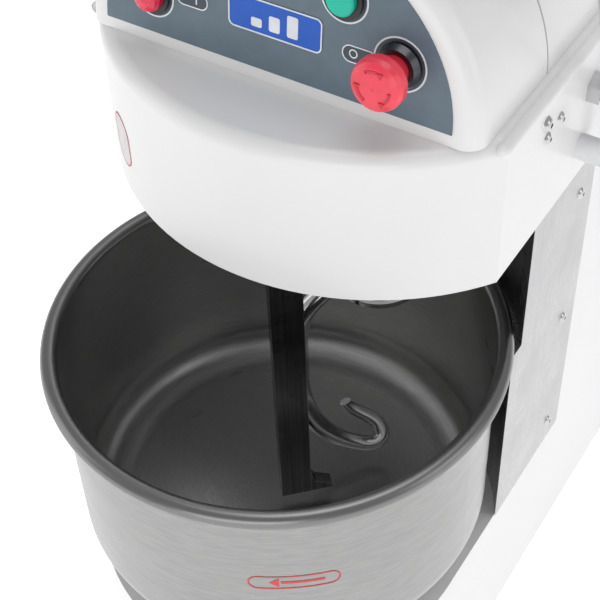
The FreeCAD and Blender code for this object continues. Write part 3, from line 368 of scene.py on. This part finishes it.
def selectFaces(thing, wanted):
    # in edit mode: exactly the faces for which wanted(face) is true
    mesh = bmesh.from_edit_mesh(thing.data)
    for part in list(mesh.verts) + list(mesh.edges) + list(mesh.faces):
        part.select = False
    for face in mesh.faces:
        if wanted(face):
            face.select_set(True)
    bmesh.update_edit_mesh(thing.data)


cornerCuts = 12  # faces round each corner of a plate
discSides = 64  # faces round a disc


def plate(wide, high, corner, thick, line=0):
    # plate with rounded corners, its back on z = 0; with a line width it is only the outline
    deselect()
    bpy.ops.mesh.primitive_cube_add(size=1, location=(0, 0, thick / 2))
    thing = bpy.context.active_object
    thing.scale = (wide, high, thick)
    bpy.ops.object.transform_apply(location=True, rotation=False, scale=True)
    bpy.ops.object.mode_set(mode="EDIT")
    bpy.ops.mesh.select_mode(type="EDGE")
    mesh = bmesh.from_edit_mesh(thing.data)
    for edge in mesh.edges:
        a, b = edge.verts
        edge.select = abs(a.co.x - b.co.x) < 1e-7 and abs(a.co.y - b.co.y) < 1e-7
    bmesh.update_edit_mesh(thing.data)
    bpy.ops.mesh.bevel(offset=corner, segments=cornerCuts, affect="EDGES")
    bpy.ops.mesh.select_mode(type="FACE")
    if line:
        hollow(thing, line)
    bpy.ops.object.mode_set(mode="OBJECT")
    return thing


def hollow(thing, line):
    # in edit mode: opens the flat faces, leaving a rim line wide
    selectFaces(thing, lambda face: abs(face.normal.z) > 0.9)
    bpy.ops.mesh.inset(thickness=line, depth=0)
    bpy.ops.mesh.bridge_edge_loops()


def disc(radius, thick, bore=0):
    # flat disc or ring with its back on z = 0
    deselect()
    bpy.ops.mesh.primitive_cylinder_add(vertices=discSides, radius=radius, depth=thick,
                                        location=(0, 0, thick / 2))
    thing = bpy.context.active_object
    bpy.ops.object.transform_apply(location=True)
    if bore:
        bpy.ops.object.mode_set(mode="EDIT")
        hollow(thing, radius - bore)
        bpy.ops.object.mode_set(mode="OBJECT")
    return thing


def joined(things, name, material):
    active(things[0])
    for thing in things:
        thing.select_set(True)
    if len(things) > 1:
        bpy.ops.object.join()
    return outward(named(name, material))


# camera, floor and light
camera = {"lens": 83.0, "place": (0.46848, -0.81983, 1.31434), "yaw": 34.02, "pitch": 45.32, "roll": 2.65}


def makeCamera():
    yaw, pitch, roll = (math.radians(camera[k]) for k in ("yaw", "pitch", "roll"))
    ahead = Vector((-math.sin(yaw) * math.cos(pitch), math.cos(yaw) * math.cos(pitch), -math.sin(pitch)))
    level = Vector((math.cos(yaw), math.sin(yaw), 0))
    down = ahead.cross(level)
    right = level * math.cos(roll) + down * math.sin(roll)
    up = level * math.sin(roll) - down * math.cos(roll)
    lens = bpy.data.cameras.new("camera")
    lens.lens = camera["lens"]
    lens.sensor_width = 36
    lens.clip_start, lens.clip_end = 0.05, 60
    thing = bpy.data.objects.new("camera", lens)
    scene.collection.objects.link(thing)
    turn = Matrix((right, up, -ahead)).transposed()
    thing.matrix_world = Matrix.Translation(camera["place"]) @ turn.to_4x4()
    scene.camera = thing
    scene.view_settings.view_transform = "Standard"


makeCamera()

light = {"world": 0.50, "floor": 0.62}
softBoxes = {
    "topBox": {"watts": 13.0, "place": (0.2, 0.2, 3.0), "aim": (0, 0, 0.5), "size": (1.6, 1.6)},
    "leftBox": {"watts": 7.0, "place": (-2.4, -1.4, 1.2), "aim": (0, 0, 0.5), "size": (1.2, 2.0)},
    "frontBox": {"watts": 19.0, "place": (0.9, -3.0, 1.1), "aim": (0, 0, 0.5), "size": (2.4, 1.4)},
    "sideBox": {"watts": 7.0, "place": (2.6, 0.4, 1.5), "aim": (0, 0, 0.6), "size": (1.4, 1.6)}}


def softBox(name, watts, place, aim, size):
    lamp = bpy.data.lights.new(name, "AREA")
    lamp.shape = "RECTANGLE"
    lamp.size, lamp.size_y = size
    lamp.energy = watts
    thing = bpy.data.objects.new(name, lamp)
    scene.collection.objects.link(thing)
    thing.location = place
    thing.rotation_euler = (Vector(aim) - Vector(place)).to_track_quat("-Z", "Y").to_euler()


world = bpy.data.worlds.new("studio")
scene.world = world
world.use_nodes = True
world.node_tree.nodes["Background"].inputs[0].default_value = (1, 1, 1, 1)
world.node_tree.nodes["Background"].inputs[1].default_value = light["world"]
for name, settings in softBoxes.items():
    softBox(name, **settings)

floorPaint = Paint("studioFloor", Roughness=0.8, Emission_Color=(1, 1, 1, 1),
                   Emission_Strength=light["floor"])
speck = floorPaint.noise(floorPaint.place(), 30, 2)
floorShade = floorPaint.blend(floorPaint.fit(speck, 0, 1), (0.86, 0.86, 0.865), (0.88, 0.88, 0.885))
floorPaint.feed("Base Color", floorShade)
deselect()
bpy.ops.mesh.primitive_plane_add(size=30, location=(0, 0, 0))
floor = bpy.context.active_object
floor.name = "studioFloor"
dress(floor, floorPaint.material)
print("camera, floor and light")


# printing on the control panel
# degrees and millimetres: the panel's foot line lies this far behind the bowl's axis and this high
panel = {"lean": 6.0, "footBack": 12.5, "footHeight": 713, "film": 1.2, "ink": 0.25}
inkThick = panel["ink"] * mm
panelTurn = Matrix.Rotation(math.radians(90 - panel["lean"]), 4, "X")


def panelMatrix(x, up, lift=panel["film"]):
    # from a flat piece lying on X and Y to its place on the panel: x across, up from the panel's foot line
    foot = Vector((0, bowlY + panel["footBack"] * mm, panel["footHeight"] * mm))
    flat = Matrix.Translation((x * mm, up * mm, lift * mm))
    return Matrix.Translation(foot) @ panelTurn @ flat


# where each control stands, and the radius of the ring round it
controls = {"stop": {"spot": (104, 51), "ring": 20.0}, "start": {"spot": (59, 87), "ring": 18.0},
            "lamp": {"spot": (-102, 42), "ring": 18.0}}
ringLine = {"inner": 12.6, "in": 0.6, "out": 0.7}


def ink(things, name, material, spot):
    piece = joined(things, name, material)
    settle(piece, panelMatrix(*spot))
    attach(piece, "machine_frame")


# ring of dark print with a white line outside, round each control
for key, control in controls.items():
    inside = (control["ring"] - ringLine["in"]) * mm
    outside = (control["ring"] + ringLine["out"]) * mm
    ink([disc(inside, inkThick, ringLine["inner"] * mm)], key + "_ground", slateDark, control["spot"])
    ink([disc(outside, inkThick, inside)], key + "_outline", printWhite, control["spot"])

# a capsule beside the stop and one beside the lamp, each with a plain sign in it
capsule = {"wide": 28, "high": 13.5, "round": 0.49, "line": 0.9, "lineRise": 1.5, "signRise": 1.8}
capsuleSpots = {"stop": (73, 47), "lamp": (-67, 48)}
stopSign = {"outer": 3.4, "inner": 2.5, "spot": (68, 47.5)}
lampSign = {"wide": 1.0, "high": 6.4, "corner": 0.4, "spot": (-63, 48)}
for key, spot in capsuleSpots.items():
    size = (capsule["wide"] * mm, capsule["high"] * mm, capsule["high"] * capsule["round"] * mm)
    ink([plate(*size, inkThick)], key + "_capsule_ground", slateDark, spot)
    ink([plate(*size, inkThick * capsule["lineRise"], capsule["line"] * mm)], key + "_capsule", printWhite,
        spot)
signThick = inkThick * capsule["signRise"]
ink([disc(stopSign["outer"] * mm, signThick, stopSign["inner"] * mm)], "stop_sign", printWhite,
    stopSign["spot"])
ink([plate(lampSign["wide"] * mm, lampSign["high"] * mm, lampSign["corner"] * mm, signThick)], "lamp_sign",
    printWhite, lampSign["spot"])

# blue plate in the middle of the panel: three rising bars in a white frame
badge = {"wide": 78, "high": 27, "corner": 5, "line": 1.1, "at": (4, 52), "rise": 2, "printRise": 3}
bars = {"wide": 9, "corner": 1.6, "apart": 15, "foot": 8.5, "highs": (7, 12, 17)}
badgeSize = (badge["wide"] * mm, badge["high"] * mm, badge["corner"] * mm)
ink([plate(*badgeSize, inkThick * badge["rise"])], "badge_ground", plateBlue, badge["at"])
ink([plate(*badgeSize, inkThick * badge["printRise"], badge["line"] * mm)], "badge_frame", printWhite,
    badge["at"])
for k, high in enumerate(bars["highs"]):
    x = badge["at"][0] + (k - 1) * bars["apart"]
    up = badge["at"][1] - bars["foot"] + high / 2
    bar = plate(bars["wide"] * mm, high * mm, bars["corner"] * mm, inkThick * badge["printRise"])
    ink([bar], "badge_bar_%d" % (k + 1), printWhite, (x, up))
print("panel printing")


# turning arrows on the stop's head
# millimetres and degrees: the arrows' radius, half width, length and thickness, and how deep they sit
mushroom = {"arrow": 12.2, "band": 1.1, "sweep": 62, "rise": 0.5, "top": 39.0, "sunk": 0.22, "count": 3}
arrowHead = {"size": 2.6, "ahead": 4}  # in half widths, and degrees past the band's end


def arcArrow(start):
    # flat curved arrow about the origin, from start degrees on through the sweep
    radius, band, thick = (mushroom[k] * mm for k in ("arrow", "band", "rise"))
    sweep = math.radians(mushroom["sweep"])
    deselect()
    bpy.ops.mesh.primitive_plane_add(size=1)
    body = bpy.context.active_object
    body.dimensions = (2 * band, band / 3, 0)
    body.location = (radius, 0, 0)
    bpy.ops.object.transform_apply(location=True, rotation=False, scale=True)
    bpy.ops.object.mode_set(mode="EDIT")
    mesh = bmesh.from_edit_mesh(body.data)
    mesh.select_mode = {"EDGE"}
    for part in list(mesh.faces) + list(mesh.edges) + list(mesh.verts):
        part.select = False
    for edge in mesh.edges:
        if all(v.co.y > 0 for v in edge.verts):
            edge.select_set(True)
    bmesh.update_edit_mesh(body.data)
    bpy.ops.mesh.spin(steps=24, angle=sweep, center=(0, 0, 0), axis=(0, 0, 1))
    bpy.ops.object.mode_set(mode="OBJECT")
    deselect()
    bpy.ops.mesh.primitive_cylinder_add(vertices=3, radius=arrowHead["size"] * band, depth=thick)
    head = bpy.context.active_object
    head.rotation_euler = (0, 0, sweep)
    tip = sweep + math.radians(arrowHead["ahead"])
    head.location = (radius * math.cos(tip), radius * math.sin(tip), thick / 2)
    bpy.ops.object.transform_apply(location=True, rotation=True, scale=True)
    thickened(body, thick)
    for piece in (body, head):
        piece.data.transform(Matrix.Rotation(math.radians(start), 4, "Z"))
    return [body, head]


arrows = []
for k in range(mushroom["count"]):
    arrows += arcArrow(360 / mushroom["count"] * k)
# the arrows take the darker red as painted shade in the grooves of the red head
turnArrows = joined(arrows, "stop_arrows", darkRed)
settle(turnArrows, panelMatrix(*controls["stop"]["spot"], mushroom["top"] - mushroom["sunk"]))
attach(turnArrows, "stop_head")
print("stop's arrows")


# printed arrow on the bowl, and a blank round-ended label on the skirt
def wrapped(thing, at):
    # bends a flat piece lying on X and Y round an upright axis, facing angle degrees round from -Y
    radius = at["radius"] * mm
    for vertex in thing.data.vertices:
        across, up, out = vertex.co
        bearing = math.radians(at["angle"]) + across / radius
        vertex.co = ((radius + out) * math.sin(bearing),
                     bowlY + at["axisBack"] * mm - (radius + out) * math.cos(bearing),
                     at["height"] * mm + up)
    return outward(thing)


def sliced(thing, count):
    # cuts a flat piece into upright strips, so that it can be bent
    low = min(v.co.x for v in thing.data.vertices)
    high = max(v.co.x for v in thing.data.vertices)
    active(thing)
    bpy.ops.object.mode_set(mode="EDIT")
    for k in range(1, count):
        bpy.ops.mesh.select_all(action="SELECT")
        bpy.ops.mesh.bisect(plane_co=(low + (high - low) * k / count, 0, 0), plane_no=(1, 0, 0))
    bpy.ops.object.mode_set(mode="OBJECT")
    return thing


def wrap(things, name, material, at):
    piece = joined(things, name, material)
    wrapped(sliced(piece, at["cuts"]), at)
    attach(piece, at["body"])


# millimetres and degrees; round is the corner's share of the smaller side
bowlMark = {"wide": 76, "high": 17.5, "round": 0.49, "line": 1.3, "ink": 0.18, "cuts": 26, "body": "bowl",
            "angle": 36.0, "height": 367.5, "radius": 187.05, "axisBack": 0}
# shares of the arrow's length and height
arrow = {"long": 0.66, "high": 0.52, "shaftAt": 0.14, "shaftLong": 0.72, "shaftHigh": 0.32,
         "head": 0.58, "headStretch": 1.35, "headAt": -0.30}


def arrowShape(long, high, thick):
    # flat arrow pointing along -X
    deselect()
    bpy.ops.mesh.primitive_cube_add(size=1, location=(arrow["shaftAt"] * long, 0, thick / 2))
    shaft = bpy.context.active_object
    shaft.scale = (arrow["shaftLong"] * long, arrow["shaftHigh"] * high, thick)
    bpy.ops.object.transform_apply(location=True, rotation=False, scale=True)
    deselect()
    bpy.ops.mesh.primitive_cylinder_add(vertices=3, radius=arrow["head"] * high, depth=thick,
                                        location=(0, 0, thick / 2))
    head = bpy.context.active_object
    head.scale = (arrow["headStretch"], 1, 1)
    bpy.ops.object.transform_apply(location=False, rotation=True, scale=True)
    head.data.transform(Matrix.Rotation(math.radians(90), 4, "Z"))
    head.data.transform(Matrix.Translation((arrow["headAt"] * long, 0, 0)))
    return [shaft, head]


markThick = bowlMark["ink"] * mm
markEdge = plate(bowlMark["wide"] * mm, bowlMark["high"] * mm, bowlMark["high"] * bowlMark["round"] * mm,
                 markThick, bowlMark["line"] * mm)
wrap([markEdge], "bowl_mark_outline", printRed, bowlMark)
arrowLong = arrow["long"] * bowlMark["wide"] * mm
arrowHigh = arrow["high"] * bowlMark["high"] * mm
wrap(arrowShape(arrowLong, arrowHigh, markThick), "bowl_mark_arrow", printRed, bowlMark)

label = {"wide": 32, "high": 48, "round": 0.49, "line": 1.2, "ink": 0.15, "lineRise": 1.8, "cuts": 12,
         "body": "machine_frame", "angle": -35.2, "height": 629.5, "radius": 220.05, "axisBack": 166}
labelSize = (label["wide"] * mm, label["high"] * mm, label["wide"] * label["round"] * mm)
labelThick = label["ink"] * mm
wrap([plate(*labelSize, labelThick)], "skirt_label", stickerWhite, label)
wrap([plate(*labelSize, label["lineRise"] * labelThick, label["line"] * mm)], "skirt_label_outline", printRed,
     label)
print("marks on the bowl and the skirt")
